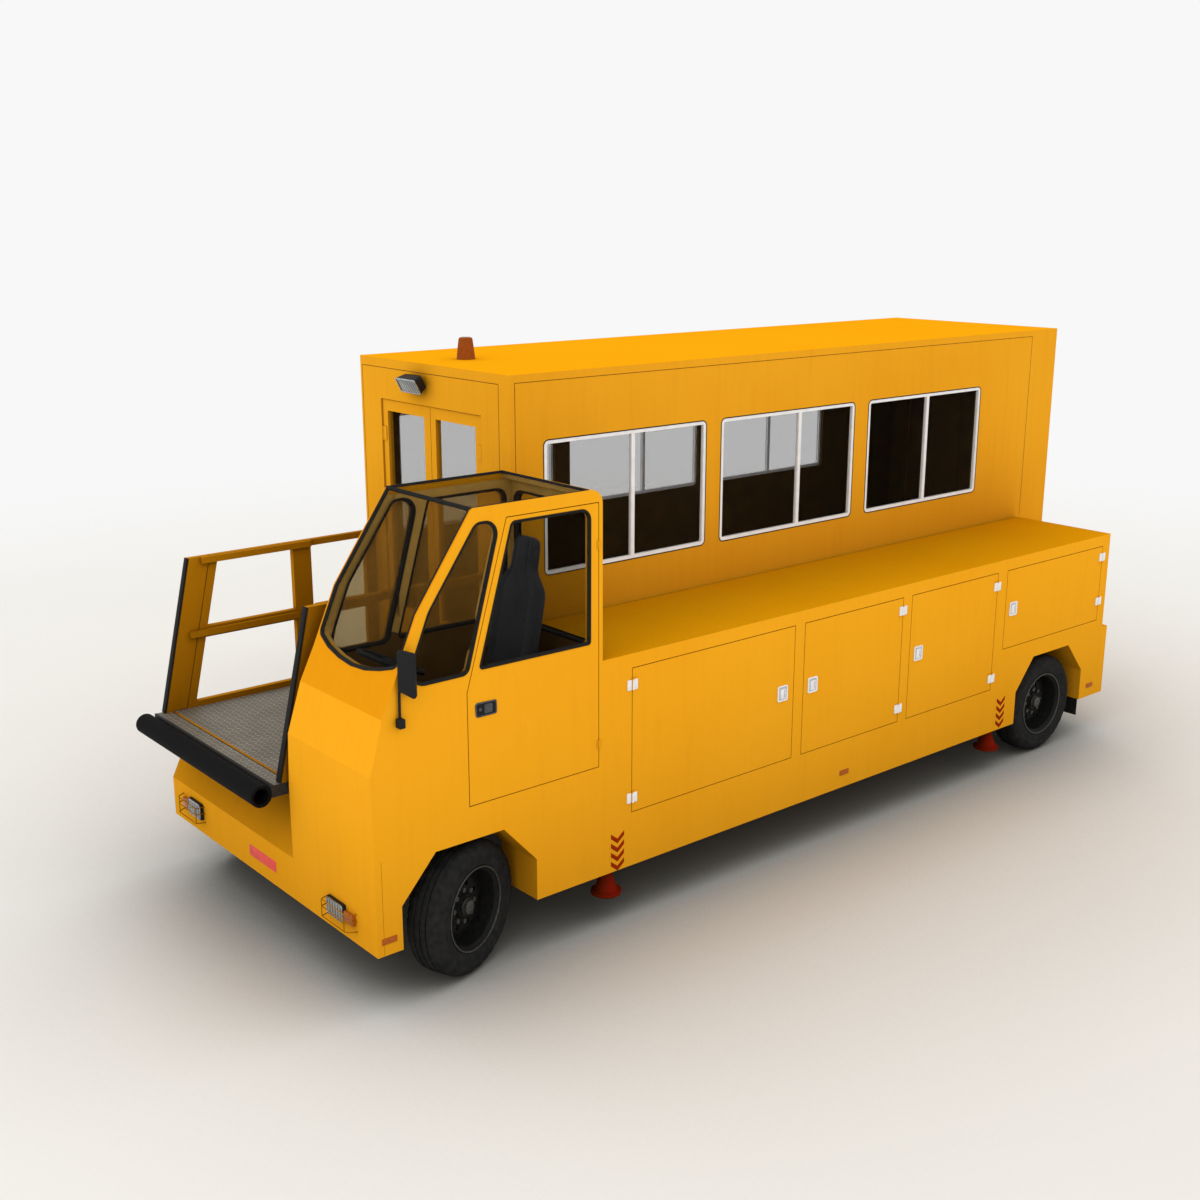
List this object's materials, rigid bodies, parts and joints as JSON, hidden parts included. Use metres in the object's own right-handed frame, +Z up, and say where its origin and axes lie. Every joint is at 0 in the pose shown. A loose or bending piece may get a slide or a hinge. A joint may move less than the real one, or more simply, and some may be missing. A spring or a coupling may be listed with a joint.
{
  "type": "passenger lift truck",
  "caption": "Low half-cab truck whose long passenger cabin rises on a scissor lift to an aircraft door, with a railed front platform and a sliding bridge with a soft roll.",
  "frame": {"origin": "on the ground, under the middle of the machine's bounding box", "axes": "+X forward (the machine's long direction), +Y to the driver's side (left), +Z up"},
  "size_m": [7.269, 2.5987, 3.277],
  "materials": {
    "yellow_paint": "gloss enamel",
    "black_frame_paint": "satin chassis paint",
    "red_paint": "gloss enamel",
    "tyre_rubber": "matt",
    "silver_rim_paint": "satin paint",
    "tinted_glass": "tinted",
    "white_frame_paint": "satin paint",
    "deck_plate": "tread plate",
    "black_rubber": "matt",
    "black_plastic": "grained",
    "seat_fabric": "woven",
    "amber_lens": "clear gloss"
  },
  "bodies": {
    "chassis": {"chassis_frame": "black_frame_paint", "lift_foot": "black_frame_paint", "jack_tubes": "black_frame_paint", "skirt_hangers": "black_frame_paint", "axles": "black_frame_paint", "engine_block": "black_frame_paint", "front_cowl": "yellow_paint", "right_skirt": "yellow_paint", "rear_bumper": "yellow_paint", "locker_skin": "yellow_paint", "locker_frame": "yellow_paint", "arch_liners": "yellow_paint", "cab_shell": "yellow_paint", "cab_glass": "tinted_glass", "dashboard": "black_plastic", "steering_wheel": "black_plastic", "seat_base": "black_plastic", "seat_cushions": "seat_fabric", "mirror": "black_plastic", "mudflaps": "black_rubber", "head_lamps": "black_plastic"},
    "cab_door": {"cab_door": "yellow_paint", "cab_door_glass": "tinted_glass"},
    "locker_door_1": {"locker_door_1": "yellow_paint"},
    "locker_door_2": {"locker_door_2": "yellow_paint"},
    "locker_door_3": {"locker_door_3": "yellow_paint"},
    "locker_door_4": {"locker_door_4": "yellow_paint"},
    "jack_front_left": {"jack_front_left": "red_paint"},
    "jack_front_right": {"jack_front_right": "red_paint"},
    "jack_rear_left": {"jack_rear_left": "red_paint"},
    "jack_rear_right": {"jack_rear_right": "red_paint"},
    "knuckle_left": {"knuckle_left": "black_frame_paint"},
    "knuckle_right": {"knuckle_right": "black_frame_paint"},
    "wheel_front_left": {"front_tyre_left": "tyre_rubber", "front_rim_left": "silver_rim_paint"},
    "wheel_front_right": {"front_tyre_right": "tyre_rubber", "front_rim_right": "silver_rim_paint"},
    "wheel_rear_left": {"rear_tyre_left": "tyre_rubber", "rear_rim_left": "silver_rim_paint"},
    "wheel_rear_right": {"rear_tyre_right": "tyre_rubber", "rear_rim_right": "silver_rim_paint"},
    "inner_arms": {"scissor_inner_arms": "black_frame_paint"},
    "outer_arms": {"scissor_outer_arms": "black_frame_paint"},
    "cabin": {"cabin_floor": "deck_plate", "cabin_walls": "yellow_paint", "cabin_roof": "yellow_paint", "window_frames": "white_frame_paint", "cabin_glass": "tinted_glass", "platform_rails": "yellow_paint", "work_lamp": "black_plastic", "beacon": "amber_lens"},
    "front_leaf_left": {"front_leaf_left": "yellow_paint", "leaf_glass_left": "tinted_glass"},
    "front_leaf_right": {"front_leaf_right": "yellow_paint", "leaf_glass_right": "tinted_glass"},
    "rear_leaf_left": {"rear_leaf_left": "yellow_paint"},
    "rear_leaf_right": {"rear_leaf_right": "yellow_paint"},
    "bridge": {"bridge_deck": "deck_plate", "bridge_rails": "yellow_paint", "bumper_roll": "black_rubber"}
  },
  "joints": [
    {"name": "rear_left_wheel_spin", "type": "hinge", "parent": "chassis", "child": "wheel_rear_left", "pos_m": [-2.558, 1.052, 0.378], "axis": [0, 1, 0], "continuous": true},
    {"name": "rear_right_wheel_spin", "type": "hinge", "parent": "chassis", "child": "wheel_rear_right", "pos_m": [-2.558, -1.052, 0.378], "axis": [0, 1, 0], "continuous": true},
    {"name": "left_steering", "type": "hinge", "parent": "chassis", "child": "knuckle_left", "pos_m": [2.869, 0.9, 0.378], "axis": [0, 0, 1], "range_deg": [-55.3, 14.7]},
    {"name": "right_steering", "type": "hinge", "parent": "chassis", "child": "knuckle_right", "pos_m": [2.869, -0.9, 0.378], "axis": [0, 0, 1], "range_deg": [-55.3, 14.7]},
    {"name": "front_left_wheel_spin", "type": "hinge", "parent": "knuckle_left", "child": "wheel_front_left", "pos_m": [2.869, 0.9, 0.378], "axis": [-0.3469, 0.9379, 0], "continuous": true},
    {"name": "front_right_wheel_spin", "type": "hinge", "parent": "knuckle_right", "child": "wheel_front_right", "pos_m": [2.869, -0.9, 0.378], "axis": [-0.3469, 0.9379, 0], "continuous": true},
    {"name": "cab_door_hinge", "type": "hinge", "parent": "chassis", "child": "cab_door", "pos_m": [1.9435, 1.218, 1.7], "axis": [0, 0, 1], "range_deg": [0, 75]},
    {"name": "locker_door_1_hinge", "type": "hinge", "parent": "chassis", "child": "locker_door_1", "pos_m": [1.6945, 1.218, 1.1], "axis": [0, 0, -1], "range_deg": [0, 90]},
    {"name": "locker_door_2_hinge", "type": "hinge", "parent": "chassis", "child": "locker_door_2", "pos_m": [-0.7265, 1.218, 1.1], "axis": [0, 0, 1], "range_deg": [0, 100]},
    {"name": "locker_door_3_hinge", "type": "hinge", "parent": "chassis", "child": "locker_door_3", "pos_m": [-1.7925, 1.218, 1.1], "axis": [0, 0, 1], "range_deg": [0, 100]},
    {"name": "locker_door_4_hinge", "type": "hinge", "parent": "chassis", "child": "locker_door_4", "pos_m": [-3.1525, 1.218, 1.25], "axis": [0, 0, 1], "range_deg": [0, 100]},
    {"name": "jack_front_left_slide", "type": "slide", "parent": "chassis", "child": "jack_front_left", "axis": [0, 0, -1], "range_m": [0, 0.15]},
    {"name": "jack_front_right_slide", "type": "slide", "parent": "chassis", "child": "jack_front_right", "axis": [0, 0, -1], "range_m": [0, 0.15]},
    {"name": "jack_rear_left_slide", "type": "slide", "parent": "chassis", "child": "jack_rear_left", "axis": [0, 0, -1], "range_m": [0, 0.15]},
    {"name": "jack_rear_right_slide", "type": "slide", "parent": "chassis", "child": "jack_rear_right", "axis": [0, 0, -1], "range_m": [0, 0.15]},
    {"name": "lift", "type": "hinge", "parent": "chassis", "child": "inner_arms", "pos_m": [-2.65, -0.4775, 0.775], "axis": [0, -1, 0], "range_deg": [0, 35]},
    {"name": "scissor_pin", "type": "hinge", "parent": "inner_arms", "child": "outer_arms", "pos_m": [-0.5, -0.4775, 0.815], "axis": [0, -1, 0], "range_deg": [-70, 0]},
    {"name": "cabin_pin", "type": "hinge", "parent": "outer_arms", "child": "cabin", "pos_m": [-2.65, -0.4775, 0.855], "axis": [0, -1, 0], "range_deg": [0, 35]},
    {"name": "front_leaf_left_hinge", "type": "hinge", "parent": "cabin", "child": "front_leaf_left", "pos_m": [1.889, 0.053, 1.9], "axis": [0, 0, 1], "range_deg": [0, 100]},
    {"name": "front_leaf_right_hinge", "type": "hinge", "parent": "cabin", "child": "front_leaf_right", "pos_m": [1.889, -1.053, 1.9], "axis": [0, 0, -1], "range_deg": [0, 100]},
    {"name": "rear_leaf_left_hinge", "type": "hinge", "parent": "cabin", "child": "rear_leaf_left", "pos_m": [-3.63, 0.053, 1.9], "axis": [0, 0, -1], "range_deg": [0, 100]},
    {"name": "rear_leaf_right_hinge", "type": "hinge", "parent": "cabin", "child": "rear_leaf_right", "pos_m": [-3.63, -1.053, 1.9], "axis": [0, 0, 1], "range_deg": [0, 100]},
    {"name": "bridge_slide", "type": "slide", "parent": "cabin", "child": "bridge", "axis": [1, 0, 0], "range_m": [0, 0.6]}
  ],
  "couplings": [
    {"joint": "right_steering", "follows": "left_steering", "ratio": 1},
    {"joint": "scissor_pin", "follows": "lift", "ratio": -2},
    {"joint": "cabin_pin", "follows": "lift", "ratio": 1}
  ]
}
